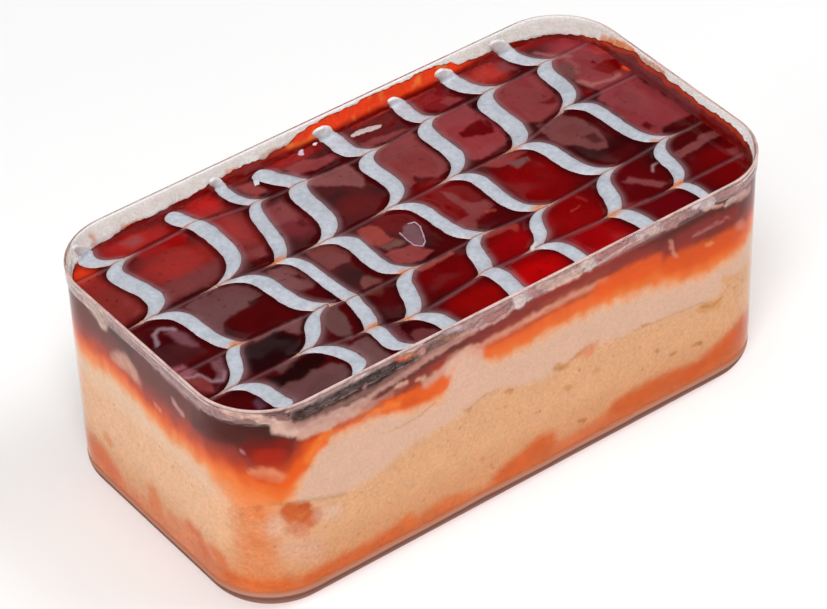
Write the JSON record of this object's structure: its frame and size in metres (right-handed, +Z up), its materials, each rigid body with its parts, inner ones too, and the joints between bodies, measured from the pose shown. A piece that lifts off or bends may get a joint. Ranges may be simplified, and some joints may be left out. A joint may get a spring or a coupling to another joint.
{
  "type": "caramel tres leches cake",
  "caption": "Layered milk-soaked cake in an open clear box, with a glossy caramel top and white feathered lines.",
  "frame": {"origin": "centre of the footprint, on the table under the box's base", "axes": "+X along the box's length, +Y across it away from the long side looked at, +Z up"},
  "size_m": [0.125, 0.0656, 0.049],
  "materials": {
    "clear_box": "clear rigid plastic, glossy",
    "soaked_base": "wet cake soaked with caramel syrup",
    "sponge": "moist sponge crumb",
    "cream": "soft milk cream",
    "caramel": "wet red-brown caramel with bluish white lines"
  },
  "bodies": {
    "root": {"clear_box": "clear_box", "soaked_base": "soaked_base", "sponge": "sponge", "cream": "cream", "caramel": "caramel"}
  },
  "joints": []
}
